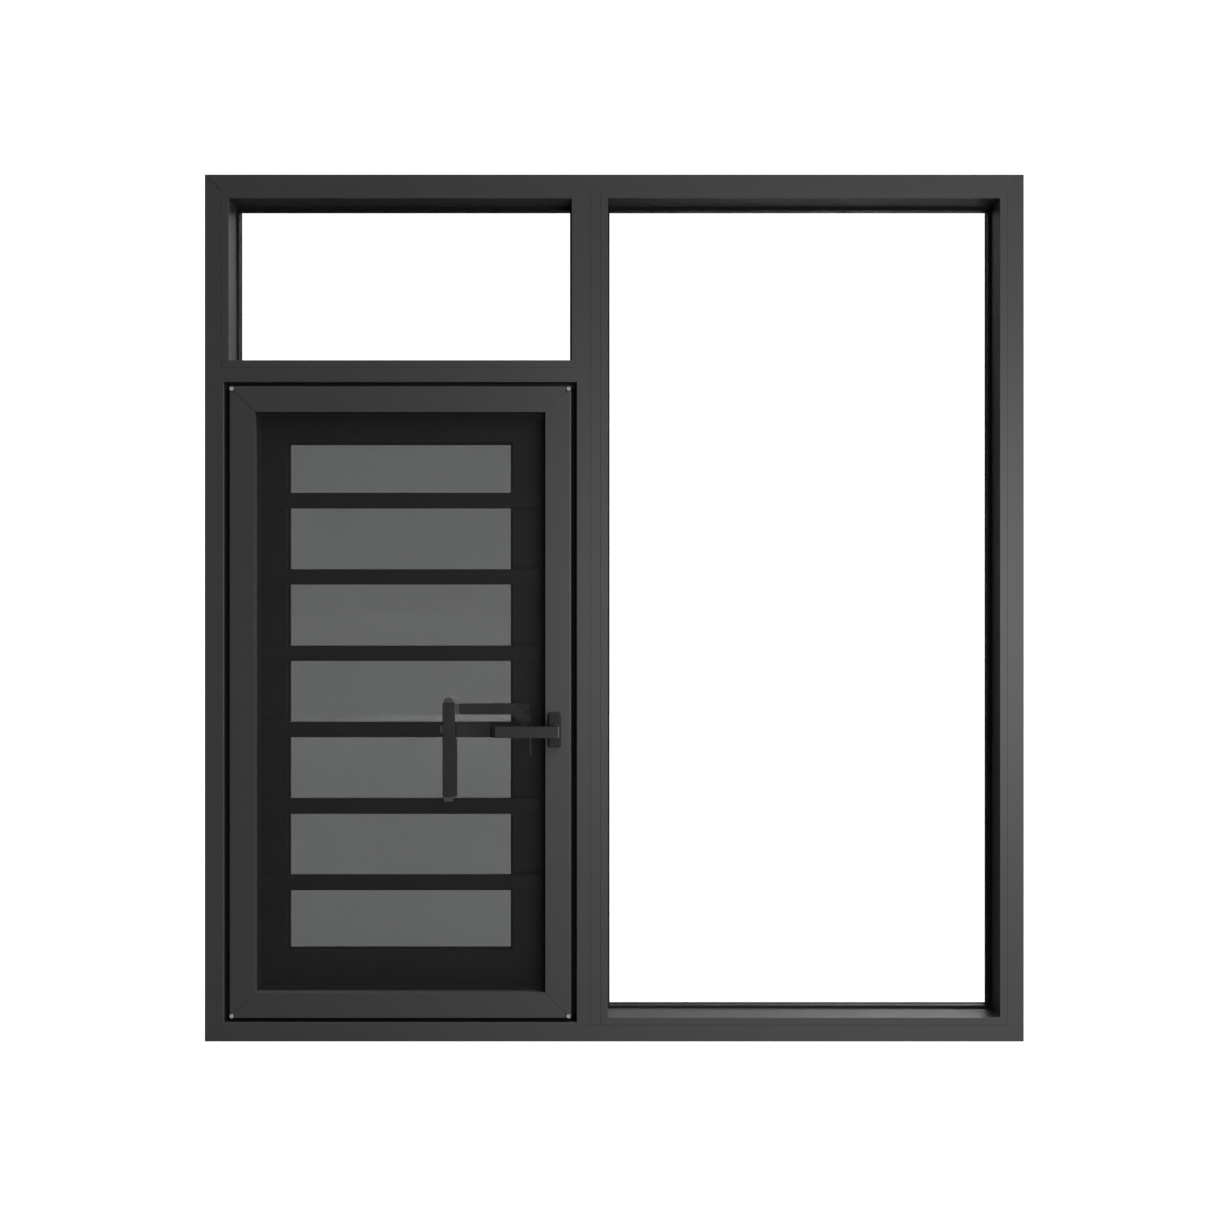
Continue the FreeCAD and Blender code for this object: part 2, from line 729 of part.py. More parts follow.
def make_guard_bars():
    """Level bars from one side of the stop frame to the other, numbered from the top."""
    bay = grown(sash_bay(), -STOP_FACE)
    lowest = sash_bay().bottom + BAR_BOTTOM_MARGIN
    pieces = {}
    for number in range(1, BAR_COUNT + 1):
        middle = lowest + (BAR_COUNT - number) * BAR_PITCH
        seat = Box(bay.left, bay.right, middle - BAR_HEIGHT / 2, middle + BAR_HEIGHT / 2)
        pieces["guard_bar_" + str(number)] = square_bar(seat, "bottom", bar_outline())
        if number == PLATE_BAR:
            right = sash_bay().right - PLATE_INSET
            cover = Box(right - PLATE_LENGTH, right, seat.bottom, seat.top)
            cover = grown(cover, -PLATE_MARGIN)
            pieces["guard_bar_plate"] = block(cover, BAR_FRONT - PLATE_THICK, BAR_FRONT)
    return pieces


def cylinder(radius, front, back, x, z):
    """A round pin that points from the room to the outside."""
    start = FreeCAD.Vector(x, depth(front), z)
    return Part.makeCylinder(radius, back - front, start, FreeCAD.Vector(0, 1, 0))


def make_screen_handle():
    """Lever handle on the right stile of the screen sash."""
    x = sash_bay().right - SCREEN_HANDLE_INSET
    z = sash_bay().bottom + SCREEN_HANDLE_HEIGHT
    half = SCREEN_PLATE_WIDTH / 2
    tall = SCREEN_PLATE_HEIGHT / 2
    seat = Box(x - half, x + half, z - tall, z + tall)
    base = plate(seat, -SCREEN_PLATE_THICK, 0, SCREEN_PLATE_ROUND)
    back = -SCREEN_PLATE_THICK - SCREEN_LEVER_STANDOFF
    front = back - SCREEN_LEVER_THICK
    neck = cylinder(SCREEN_NECK, back, -SCREEN_PLATE_THICK, x, z)
    tip = x + SCREEN_LEVER_TAIL - SCREEN_LEVER_LENGTH
    radius = SCREEN_LEVER_THICK / 3
    corners = [
        (tip, front, 2 * radius),
        (x + SCREEN_LEVER_TAIL, front, SCREEN_LEVER_ELBOW),
        (x + SCREEN_LEVER_TAIL, back, radius / 4),
        (tip, back, radius),
    ]

    def place(a, b):
        return FreeCAD.Vector(a, depth(b), z - SCREEN_LEVER_HEIGHT / 2)

    lever = prism(corners, place, FreeCAD.Vector(0, 0, SCREEN_LEVER_HEIGHT))
    return {"screen_handle_base": base, "screen_handle_lever": lever.fuse(neck).removeSplitter()}


def make_sash_handle():
    """Cranked handle of the glazed sash: base, arm and hanging grip."""
    x = sash_bay().right - SASH_HANDLE_INSET
    z = sash_bay().bottom + SASH_HANDLE_HEIGHT
    front = sash_front()
    plate_front = front - SASH_PLATE_THICK
    left = x - SASH_PLATE_SIDE - SASH_PLATE_WIDTH / 2
    middle = z - SASH_PLATE_DROP
    tall = SASH_PLATE_HEIGHT / 2
    seat = Box(left, left + SASH_PLATE_WIDTH, middle - tall, middle + tall)
    base = plate(seat, plate_front, front, SASH_PLATE_ROUND)
    split = seat.top - SASH_PLATE_SPLIT
    line = Box(seat.left, seat.right, split - JOINT / 2, split + JOINT / 2)
    base = base.cut(block(line, plate_front, plate_front + JOINT))
    arm_back = ARM_FRONT + ARM_THICK
    spindle = cylinder(SASH_SPINDLE, arm_back, plate_front, x, z)
    level = z + ARM_RISE
    half = ARM_HEIGHT / 2
    end = x - ARM_LENGTH
    slope = half * math.tan(math.radians(22.5))
    knee = x - ARM_CRANK
    foot = ARM_HEIGHT / math.sqrt(8)
    corners = [
        (end, level - half, ARM_ROUND),
        (knee - slope, level - half, 0),
        (x + ARM_TAIL - foot, z - ARM_TAIL - foot, 2 * SASH_SPINDLE / 3),
        (x + ARM_TAIL + foot, z - ARM_TAIL + foot, 2 * SASH_SPINDLE / 3),
        (knee + slope, level + half, 0),
        (end, level + half, ARM_ROUND),
    ]

    def place(a, b):
        return FreeCAD.Vector(a, depth(ARM_FRONT), b)

    arm = prism(corners, place, FreeCAD.Vector(0, ARM_THICK, 0)).fuse(spindle).removeSplitter()
    return {"sash_handle_base": base, "sash_handle_arm": arm,
            "sash_handle_grip": make_grip(end, level)}


def make_grip(end, level):
    """Hanging grip at the arm's end: a shell that is wider below, round a core, and its knuckle."""
    right = end - KNUCKLE_LENGTH
    left = right - GRIP_WIDTH
    top = level + GRIP_ABOVE
    bottom = top - GRIP_LENGTH
    shoulder = bottom + GRIP_SWELL_HEIGHT
    shell = [
        (left, bottom, GRIP_ROUND),
        (right + GRIP_SWELL, bottom, GRIP_ROUND),
        (right + GRIP_SWELL, shoulder, GRIP_ROUND),
        (right, shoulder + GRIP_SWELL_RUN, GRIP_ROUND),
        (right, top, GRIP_ROUND),
        (left, top, GRIP_ROUND),
    ]
    core_left = left + GRIP_CORE_INSET
    core_right = right - GRIP_CORE_INSET
    crown = (core_right - core_left) / 2
    core = [
        (core_left + GRIP_CORE_TAPER, bottom - GRIP_CORE_FOOT, 0),
        (core_right - GRIP_CORE_TAPER, bottom - GRIP_CORE_FOOT, 0),
        (core_right, bottom, 0),
        (core_right, top + GRIP_CORE_TOP, crown),
        (core_left, top + GRIP_CORE_TOP, crown),
        (core_left, bottom, 0),
    ]
    core_front = ARM_FRONT + (GRIP_THICK - GRIP_CORE_THICK) / 2
    grip = prism(shell, lambda a, b: FreeCAD.Vector(a, depth(ARM_FRONT), b),
                 FreeCAD.Vector(0, GRIP_THICK, 0))
    grip = grip.fuse(prism(core, lambda a, b: FreeCAD.Vector(a, depth(core_front), b),
                           FreeCAD.Vector(0, GRIP_CORE_THICK, 0)))
    pin_middle = level - GRIP_PIN_DROP
    pin_box = Box(left - GRIP_PIN_SIDE, left + GRIP_ROUND,
                  pin_middle - GRIP_PIN_HEIGHT / 2, pin_middle + GRIP_PIN_HEIGHT / 2)
    knuckle_box = Box(right, end, level - KNUCKLE_HEIGHT / 2, level + KNUCKLE_HEIGHT / 2)
    set_back = (GRIP_THICK - KNUCKLE_THICK) / 2
    for side_box in (pin_box, knuckle_box):
        grip = grip.fuse(block(side_box, ARM_FRONT + set_back, ARM_FRONT + GRIP_THICK - set_back))
    return grip.removeSplitter()


def make_window():
    """Every piece of the window, by the name of its node."""
    pieces = make_frame()
    pieces.update(make_dividers(pieces))
    seat_beads(pieces)
    pieces.update(make_thermal_break())
    pieces.update(make_beads())
    pieces.update(make_fixed_glazing())
    pieces.update(make_stops())
    pieces.update(make_screen())
    pieces.update(make_screen_seal())
    pieces.update(make_sash())
    pieces.update(make_sash_glazing())
    pieces.update(make_sash_seal())
    pieces.update(make_guard_bars())
    pieces.update(make_screen_handle())
    pieces.update(make_sash_handle())
    return pieces


os.makedirs("parts", exist_ok=True)
for node, shape in make_window().items():
    shape.exportStep("parts/" + node + ".step")
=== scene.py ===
import math

import bpy
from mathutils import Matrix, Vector


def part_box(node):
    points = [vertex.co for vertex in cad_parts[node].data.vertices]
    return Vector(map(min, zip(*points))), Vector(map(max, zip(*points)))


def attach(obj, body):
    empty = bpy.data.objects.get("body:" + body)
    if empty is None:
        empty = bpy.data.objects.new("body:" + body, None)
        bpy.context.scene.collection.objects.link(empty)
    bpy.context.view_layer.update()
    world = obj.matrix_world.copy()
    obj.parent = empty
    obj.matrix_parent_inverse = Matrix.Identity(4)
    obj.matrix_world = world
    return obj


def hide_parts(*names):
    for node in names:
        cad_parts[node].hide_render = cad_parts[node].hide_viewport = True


bl_info = {
    "name": "Combination Window",
    "version": (1, 0, 0),
    "blender": (4, 5, 0),
    "location": "3D View > Sidebar > Window",
    "description": "Finishes, woven mesh, seals and hardware of an aluminium combination window",
    "category": "Object",
}

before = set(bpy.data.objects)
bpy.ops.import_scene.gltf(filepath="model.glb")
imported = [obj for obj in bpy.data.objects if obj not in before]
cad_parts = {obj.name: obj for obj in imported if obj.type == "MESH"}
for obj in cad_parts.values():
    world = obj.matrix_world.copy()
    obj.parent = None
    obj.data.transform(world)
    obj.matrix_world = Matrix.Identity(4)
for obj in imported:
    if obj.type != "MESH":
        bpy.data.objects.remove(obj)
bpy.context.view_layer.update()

MM = 0.001
ROOM = Vector((0, -1, 0))  # from the window towards the room
STRAIGHT = 0.99  # how much of a direction lies along the axis that it is taken to follow
NEAR = 1 * MM  # how close to a piece's end an edge or face lies that is taken to be at that end
ROUNDED_TURN = math.radians(35)  # edges that turn more than this are rounded
SMOOTH_TURN = math.radians(40)  # faces that turn less than this are shaded as one

# Turns of a round pin, which is made upright
UPRIGHT = (0, 0, 0)
LEVEL = (0, math.pi / 2, 0)
DEEP = (math.pi / 2, 0, 0)

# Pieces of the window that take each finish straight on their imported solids
PROFILES = (
    "frame_head", "frame_sill", "frame_jamb_left", "frame_jamb_right", "mullion", "transom",
    "picture_bead_left", "picture_bead_right", "picture_bead_bottom", "picture_bead_top",
    "upper_bead_left", "upper_bead_right", "upper_bead_bottom", "upper_bead_top",
    "screen_stile_left", "screen_stile_right", "screen_rail_bottom", "screen_rail_top",
)
INNER_PROFILES = (
    "stop_left", "stop_right", "stop_bottom", "stop_top",
    "sash_stile_left", "sash_stile_right", "sash_rail_bottom", "sash_rail_top",
    *(f"guard_bar_{number}" for number in range(1, 7)),
)

# Colours of the small pieces
SPACER_GREY = "#3a3a3b"
STRIP_BLACK = "#1d1d1e"
WIRE_BLACK = "#232323"
CAP_BLACK = "#0d0d0d"
STEEL_GREY = "#cfcfcc"
PLUG_WHITE = "#a8a49d"


def srgb(code):
    """The linear colour of an sRGB hex code."""
    channels = [int(code[place:place + 2], 16) / 255 for place in (1, 3, 5)]
    return [c / 12.92 if c <= 0.04045 else ((c + 0.055) / 1.055) ** 2.4 for c in channels]


def tint(name, description, code):
    """A colour that a user may change, which starts from an sRGB hex code."""
    return bpy.props.FloatVectorProperty(name=name, description=description, subtype="COLOR",
                                         size=3, min=0, max=1, default=srgb(code))


class WindowFinish(bpy.types.PropertyGroup):
    """Colours of the window's materials."""

    coat: tint("Powder coat", "Frame, beads and screen sash", "#3b3b3a")
    # A darker copy of the frame's powder coat: painted shade for the glazed sash, stops and guard bars,
    # which lie behind the screen in its shadow.
    shaded_inner_coat: tint("Shaded inner powder coat", "Glazed sash, stops and guard bars", "#1f1f1e")
    screen_handle: tint("Screen handle", "Satin coat of the screen sash's handle", "#2c2c2b")
    sash_handle: tint("Sash handle", "Satin coat of the glazed sash's handle", "#626261")
    handle_plate: tint("Handle plate", "Moulded plate of the screen sash's handle", "#1c1c1c")
    core: tint("Grip core", "Grey nylon inside the glazed sash's grip", "#b4b4b2")
    rubber: tint("Rubber", "Gaskets of the glass, and the glazed sash's seal", "#161616")
    # Lighter than the glass gaskets' rubber: painted light for the light that bounces into the gap
    # round the screen sash.
    lit_screen_rubber: tint("Screen rubber", "Seal and spline of the screen sash", "#2c2c2c")
    clear_glass: tint("Clear glass", "Both fixed lights", "#fcfdfd")
    tinted_glass: tint("Tinted glass", "One sheet of the glazed sash", "#b5b6b6")


class WindowMesh(bpy.types.PropertyGroup):
    """Sizes of the woven screen."""

    pitch: bpy.props.FloatProperty(
        name="Pitch", description="Distance from one wire to the next", unit="LENGTH",
        min=1 * MM, max=10 * MM, default=1.411 * MM)
    wire: bpy.props.FloatProperty(
        name="Wire", description="Thickness of one coated wire", unit="LENGTH",
        min=0.1 * MM, max=2 * MM, default=0.49 * MM)


class WindowStage(bpy.types.PropertyGroup):
    """The studio's camera."""

    eye: bpy.props.FloatVectorProperty(
        name="Camera", description="Place of the camera", subtype="TRANSLATION",
        size=3, default=(-0.0432, -2.26, 0.7854))
    lens: bpy.props.FloatProperty(
        name="Lens", description="Focal length on a 36 mm sensor, in millimetres",
        min=10, max=200, default=36.445)
    shift: bpy.props.FloatVectorProperty(
        name="Shift", description="Camera shift across and up", size=2, default=(0.01964, -0.0131))


def add_node(tree, kind, inputs=None, **settings):
    """Adds a node. Settings are its own, and inputs are values or (node, output) to link."""
    made = tree.nodes.new(kind)
    for name, value in settings.items():
        setattr(made, name, value)
    for name, value in (inputs or {}).items():
        if isinstance(value, tuple) and isinstance(value[0], bpy.types.Node):
            tree.links.new(value[0].outputs[value[1]], made.inputs[name])
        else:
            made.inputs[name].default_value = value
    return made


def new_material(name, sockets):
    """A material with one surface shader, whose sockets are set by name."""
    material = bpy.data.materials.new(name)
    material.use_nodes = True
    shader = material.node_tree.nodes["Principled BSDF"]
    for socket, value in sockets.items():
        shader.inputs[socket].default_value = value
    return material, material.node_tree, shader


def grained_material(name, colour, sockets, grain, strength, depth, spread, patch):
    """A material with a fine bump of one grain size, and a faint change of tone over wide patches."""
    material, tree, shader = new_material(name, sockets)
    place = add_node(tree, "ShaderNodeTexCoord")
    peel = add_node(tree, "ShaderNodeTexNoise", {"Vector": (place, "Object"), "Scale": 1 / grain,
                                                 "Detail": 2.0, "Roughness": 0.6})
    bump = add_node(tree, "ShaderNodeBump", {"Height": (peel, "Fac"), "Strength": strength,
                                             "Distance": depth})
    tree.links.new(bump.outputs["Normal"], shader.inputs["Normal"])
    cloud = add_node(tree, "ShaderNodeTexNoise", {"Vector": (place, "Object"), "Scale": 1 / patch,
                                                  "Detail": 4.0, "Roughness": 0.55})
    tone = add_node(tree, "ShaderNodeMix", {"Factor": (cloud, "Fac"),
                                            "A": [c * (1 - spread) for c in colour] + [1],
                                            "B": [c * (1 + spread) for c in colour] + [1]},
                    data_type="RGBA")
    tree.links.new(tone.outputs["Result"], shader.inputs["Base Color"])
    return material


def powder_coated_aluminium(name, colour, roughness):
    """Polyester powder baked on aluminium: matt and even, with an orange peel that dulls highlights."""
    # The real peel is about 0.4 mm across, and is drawn at 1.5 mm so that it shows in the render.
    return grained_material(name, colour, {"Roughness": roughness, "Specular IOR Level": 0.5},
                            grain=1.5 * MM, strength=0.06, depth=0.05 * MM, spread=0.05, patch=60 * MM)


def satin_coated_zinc(name, colour, roughness):
    """Die-cast zinc with a thin satin coat: smoother than the profiles, so its edges catch light."""
    # The coat's grit is about 0.1 mm across, and is drawn at 0.9 mm so that it shows.
    return grained_material(name, colour, {"Roughness": roughness, "Specular IOR Level": 0.5},
                            grain=0.9 * MM, strength=0.05, depth=0.03 * MM, spread=0.04, patch=15 * MM)


def plated_steel(name, colour):
    """Steel with a dull zinc plate: a pale metal that still spreads much of the light it gets."""
    # The plate's grain is about 0.1 mm across, and is drawn at 0.5 mm so that it shows.
    return grained_material(name, colour, {"Roughness": 0.42, "Metallic": 0.6},
                            grain=0.5 * MM, strength=0.05, depth=0.02 * MM, spread=0.06, patch=5 * MM)


def epdm_rubber(name, colour):
    """Extruded EPDM: dark and dull, with a faint dusty bloom that lightens it in patches."""
    # The die's marks are about 0.2 mm across, and are drawn at 0.6 mm so that they show.
    return grained_material(name, colour, {"Roughness": 0.8, "Specular IOR Level": 0.2},
                            grain=0.6 * MM, strength=0.1, depth=0.03 * MM, spread=0.25, patch=30 * MM)


def float_glass(name, colour):
    """Float glass: flat and clear, and seen mostly by its edges and reflections."""
    sockets = {"Base Color": [*colour, 1], "Roughness": 0.0, "IOR": 1.52, "Transmission Weight": 1.0}
    return new_material(name, sockets)[0]


def coated_wire(name, colour):
    """Stainless wire with a black coat: thin, round and slightly glossy on its crown."""
    # The coat's ripples are about as long as the wire is thick, 0.5 mm.
    return grained_material(name, colour, {"Roughness": 0.5, "Specular IOR Level": 0.4},
                            grain=0.5 * MM, strength=0.05, depth=0.02 * MM, spread=0.15, patch=20 * MM)


def anodised_spacer(name, colour):
    """Dark anodised aluminium bar, perforated for its drying agent, so it reads as dull metal."""
    # The perforations are about 1.2 mm apart, and show only as an unevenness of that size.
    return grained_material(name, colour, {"Roughness": 0.42, "Metallic": 1.0},
                            grain=1.2 * MM, strength=0.06, depth=0.02 * MM, spread=0.08, patch=25 * MM)


def moulded_polymer(name, colour, roughness):
    """Moulded polyamide: an even, slightly waxy plastic with a faint flow texture."""
    # The mould's texture is about 0.3 mm across, and is drawn at 1 mm so that it shows.
    return grained_material(name, colour, {"Roughness": roughness, "Specular IOR Level": 0.35},
                            grain=1.0 * MM, strength=0.06, depth=0.03 * MM, spread=0.06, patch=12 * MM)


def finish_nodes(names, material):
    """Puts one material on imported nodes."""
    for name in names:
        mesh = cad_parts[name].data
        mesh.materials.clear()
        mesh.materials.append(material)


def deselect():
    """Leaves nothing selected, in object mode."""
    if bpy.context.object and bpy.context.object.mode != "OBJECT":
        bpy.ops.object.mode_set(mode="OBJECT")
    bpy.ops.object.select_all(action="DESELECT")


def take(*pieces):
    """Selects only these pieces, with the first one active."""
    deselect()
    for piece in pieces:
        piece.select_set(True)
    bpy.context.view_layer.objects.active = pieces[0]


def settle(name):
    """Names the new primitive and puts its place and size into its mesh."""
    piece = bpy.context.object
    piece.name = name
    piece.data.name = name
    bpy.ops.object.transform_apply(location=True, rotation=True, scale=True)
    return piece


def block(name, low, high):
    """A block between two corners, to be shaped."""
    deselect()
    low, high = Vector(low), Vector(high)
    bpy.ops.mesh.primitive_cube_add(size=1, location=(low + high) / 2, scale=high - low)
    return settle(name)


def pin(name, centre, radius, length, vertices, turn=DEEP):
    """A round pin about its centre. With no turn given it points from the room to the outside."""
    deselect()
    bpy.ops.mesh.primitive_cylinder_add(vertices=vertices, radius=radius, depth=length,
                                        location=centre, rotation=turn)
    return settle(name)


def pick(piece, kind, test):
    """Goes into edit mode with those faces or edges selected that pass a test of place and turn."""
    take(piece)
    bpy.ops.object.mode_set(mode="EDIT")
    bpy.ops.mesh.select_mode(type=kind)
    bpy.ops.mesh.select_all(action="DESELECT")
    bpy.ops.object.mode_set(mode="OBJECT")
    mesh = piece.data
    found = 0
    if kind == "FACE":
        for face in mesh.polygons:
            face.select = bool(test(face.center, face.normal))
            found += face.select
    else:
        for edge in mesh.edges:
            first, second = (mesh.vertices[index].co for index in edge.vertices)
            edge.select = bool(test((first + second) / 2, (second - first).normalized()))
            found += edge.select
    if not found:
        raise RuntimeError("nothing was picked on " + piece.name)
    bpy.ops.object.mode_set(mode="EDIT")


def round_edges(piece, test, radius, segments):
    """Rounds the picked edges."""
    pick(piece, "EDGE", test)
    bpy.ops.mesh.bevel(offset=radius, segments=segments, affect="EDGES")
    bpy.ops.object.mode_set(mode="OBJECT")


def cut_across(piece, place, direction):
    """Adds a loop of edges where a plane crosses a piece."""
    take(piece)
    bpy.ops.object.mode_set(mode="EDIT")
    bpy.ops.mesh.select_all(action="SELECT")
    bpy.ops.mesh.bisect(plane_co=place, plane_no=direction)
    bpy.ops.object.mode_set(mode="OBJECT")


def raise_face(piece, test, margin, rise):
    """Insets the picked face, and lifts or sinks its middle."""
    pick(piece, "FACE", test)
    bpy.ops.mesh.inset(thickness=margin)
    bpy.ops.mesh.extrude_region_move(TRANSFORM_OT_translate={"value": rise})
    bpy.ops.object.mode_set(mode="OBJECT")


def soften(piece, width, segments=3):
    """Breaks every sharp edge with a small round, and shades the piece smooth between sharp turns."""
    take(piece)
    bevel = piece.modifiers.new("edge", "BEVEL")
    bevel.width = width
    bevel.segments = segments
    bevel.limit_method = "ANGLE"
    bevel.angle_limit = ROUNDED_TURN
    bevel.use_clamp_overlap = True
    bpy.ops.object.modifier_apply(modifier=bevel.name)
    bpy.ops.object.shade_smooth_by_angle(angle=SMOOTH_TURN)
    even = piece.modifiers.new("even", "WEIGHTED_NORMAL")
    even.keep_sharp = True
    bpy.ops.object.modifier_apply(modifier=even.name)


def join(main, *others):
    """Joins pieces into the first one."""
    take(main, *others)
    bpy.ops.object.join()
    return main


def repeat_at(piece, steps):
    """Copies a finished piece by each step, and joins the copies to it."""
    made = []
    for step in steps:
        take(piece)
        bpy.ops.object.duplicate_move(TRANSFORM_OT_translate={"value": step})
        made.append(settle(piece.name + "_copy"))
    return join(piece, *made)


def hand_over(piece, material, slot, *nodes):
    """Gives a finished piece its material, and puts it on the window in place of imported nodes."""
    piece.data.materials.clear()
    piece.data.materials.append(material)
    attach(piece, "root")
    if nodes:
        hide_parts(*nodes)


def along_depth(_, direction):
    """Edges that run from the room to the outside."""
    return abs(direction.y) > STRAIGHT


def depth_edges(test):
    """The edges along the depth whose middle passes a test."""
    return lambda middle, direction: along_depth(middle, direction) and test(middle)


def facing_room(_, normal):
    """Faces that look at the room."""
    return normal.y < -STRAIGHT


class WINDOW_OT_coat_profiles(bpy.types.Operator):
    """Powder coat every profile, bead, stop and guard bar"""

    bl_idname = "window.coat_profiles"
    bl_label = "Coat profiles"

    def execute(self, context):
        finish = context.scene.window_finish
        finish_nodes(PROFILES, powder_coated_aluminium(
            "powder_coated_aluminium", finish.coat, roughness=0.40))
        # The inner pieces take the same coat made darker, as painted shade for lying behind the screen.
        finish_nodes(INNER_PROFILES, powder_coated_aluminium(
            "powder_coated_aluminium_painted_shade", finish.shaded_inner_coat, roughness=0.45))
        finish_nodes(("guard_bar_plate",), satin_coated_zinc(
            "satin_coated_plate", finish.sash_handle, roughness=0.4))
        return {"FINISHED"}


class WINDOW_OT_glaze(bpy.types.Operator):
    """Give the panes, spacers and plastic strips their materials"""

    bl_idname = "window.glaze"
    bl_label = "Glaze"

    def execute(self, context):
        finish = context.scene.window_finish
        finish_nodes(("picture_glass", "upper_glass"),
                     float_glass("clear_float_glass", finish.clear_glass))
        finish_nodes(("sash_glass",), float_glass("grey_float_glass", finish.tinted_glass))
        for name in ("picture_glass", "upper_glass", "sash_glass"):
            # The panes cast no shadow, so that the light from outside reaches the reveals.
            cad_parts[name].visible_shadow = False
        finish_nodes(("picture_spacer", "upper_spacer", "sash_spacer"),
                     anodised_spacer("anodised_spacer", srgb(SPACER_GREY)))
        finish_nodes(("frame_thermal_break",),
                     moulded_polymer("glass_filled_polyamide", srgb(STRIP_BLACK), roughness=0.55))
        return {"FINISHED"}


class WINDOW_OT_fit_seals(bpy.types.Operator):
    """Give every rubber seal and gasket its material"""

    bl_idname = "window.fit_seals"
    bl_label = "Fit seals"

    def execute(self, context):
        finish = context.scene.window_finish
        finish_nodes(("glazing_gaskets", "sash_gaskets", "sash_seal"),
                     epdm_rubber("epdm_rubber", finish.rubber))
        # The screen's seal and spline take the same rubber made lighter, as painted light for the light
        # that reaches them in the gap.
        finish_nodes(("screen_seal", "screen_spline"),
                     epdm_rubber("painted_light_epdm_rubber", finish.lit_screen_rubber))
        return {"FINISHED"}


class WINDOW_OT_weave_screen(bpy.types.Operator):
    """Lay the wires of the screen, upright and level, in place of its plain sheet"""

    bl_idname = "window.weave_screen"
    bl_label = "Weave screen"

    def execute(self, context):
        weave = context.scene.window_mesh
        low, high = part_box("screen_mesh")
        width, height = high.x - low.x, high.z - low.z
        middle = (low + high) / 2
        sides = 6
        facet_turn = math.radians(65)  # just above the turn between two sides of a wire
        radius = min(weave.wire / 2, (high.y - low.y) / 2)
        layer = Vector((0, (high.y - low.y) / 2 - radius, 0))
        upright = pin("woven_screen", Vector((low.x + weave.pitch / 2, middle.y, middle.z)) - layer,
                      radius, height, sides, UPRIGHT)
        self.repeat(upright, (weave.pitch, 0, 0), int(width / weave.pitch))
        level = pin("woven_screen_level", Vector((middle.x, middle.y, low.z + weave.pitch / 2)) + layer,
                    radius, width, sides, LEVEL)
        self.repeat(level, (0, 0, weave.pitch), int(height / weave.pitch))
        screen = join(upright, level)
        bpy.ops.object.shade_smooth_by_angle(angle=facet_turn)
        hand_over(screen, coated_wire("black_coated_wire", srgb(WIRE_BLACK)), "mesh", "screen_mesh")
        return {"FINISHED"}

    def repeat(self, wire, step, count):
        """Copies one wire across the screen."""
        array = wire.modifiers.new("wires", "ARRAY")
        array.count = count
        array.use_relative_offset = False
        array.use_constant_offset = True
        array.constant_offset_displace = step
        bpy.ops.object.modifier_apply(modifier=array.name)


class WINDOW_OT_model_screen_handle(bpy.types.Operator):
    """Model the screen sash's plate, its lever with a turned neck, and the lever's soft cap"""

    bl_idname = "window.model_screen_handle"
    bl_label = "Model screen handle"

    def execute(self, context):
        finish = context.scene.window_finish
        self.model_plate(moulded_polymer("dark_moulded_cover", finish.handle_plate, roughness=0.6))
        self.model_lever(satin_coated_zinc("satin_coated_zinc", finish.screen_handle, roughness=0.22))
        return {"FINISHED"}

    def model_plate(self, cover):
        """A rounded plate with a raised middle and a collar for the neck."""
        low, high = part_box("screen_handle_base")
        corner_radius = 4.5 * MM
        rim, rise = 1.7 * MM, 1.6 * MM
        collar_radius, collar_length, collar_forward = 10.5 * MM, 5 * MM, 1.2 * MM
        plate = block("screen_handle_plate", low - ROOM * rise, high)
        round_edges(plate, along_depth, corner_radius, segments=6)
        raise_face(plate, facing_room, rim, ROOM * rise)
        soften(plate, width=0.5 * MM)
        middle = (low + high) / 2
        collar = pin("collar", (middle.x, low.y - collar_forward, middle.z), collar_radius,
                     collar_length, vertices=40)
        soften(collar, width=0.8 * MM)
        join(plate, collar)
        hand_over(plate, cover, "handle", "screen_handle_base")

    def model_lever(self, coat):
        """A flat lever whose end bends back to the plate as a neck, with a cap on the free end."""
        low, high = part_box("screen_handle_lever")
        base_low, base_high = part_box("screen_handle_base")
        pivot = (base_low.x + base_high.x) / 2
        bar_thickness = 12.0 * MM
        bar_back = low.y + bar_thickness
        neck_half, neck_step, neck_radius = 7.5 * MM, 1.6 * MM, 4.5 * MM
        elbow = 11.5 * MM
        cap_length, cap_radius, cap_shrink = 9.0 * MM, 4.0 * MM, 0.5 * MM
        lever = block("screen_handle_arm", (low.x + cap_length, low.y, low.z),
                      (high.x, bar_back, high.z))
        cut_across(lever, (pivot - neck_half, 0, 0), (1, 0, 0))
        cut_across(lever, (pivot + neck_half, 0, 0), (1, 0, 0))
        raise_face(lever, lambda middle, normal: normal.y > STRAIGHT and abs(middle.x - pivot) < NEAR,
                   neck_step, -ROOM * (base_low.y - bar_back))
        round_edges(lever, depth_edges(lambda middle: middle.y > bar_back), neck_radius, segments=5)
        round_edges(lever, lambda middle, direction: abs(direction.z) > STRAIGHT
                    and middle.y < low.y + NEAR and middle.x > high.x - NEAR, elbow, segments=10)
        soften(lever, width=1.7 * MM, segments=4)
        hand_over(lever, coat, "handle", "screen_handle_lever")
        cap = block("screen_handle_cap", (low.x, low.y + cap_shrink, low.z + cap_shrink),
                    (low.x + cap_length, bar_back - cap_shrink, high.z - cap_shrink))
        round_edges(cap, lambda middle, _: middle.x < low.x + NEAR, cap_radius, segments=5)
        soften(cap, width=0.6 * MM)
        hand_over(cap, epdm_rubber("soft_black_cap", srgb(CAP_BLACK)), "rubber")


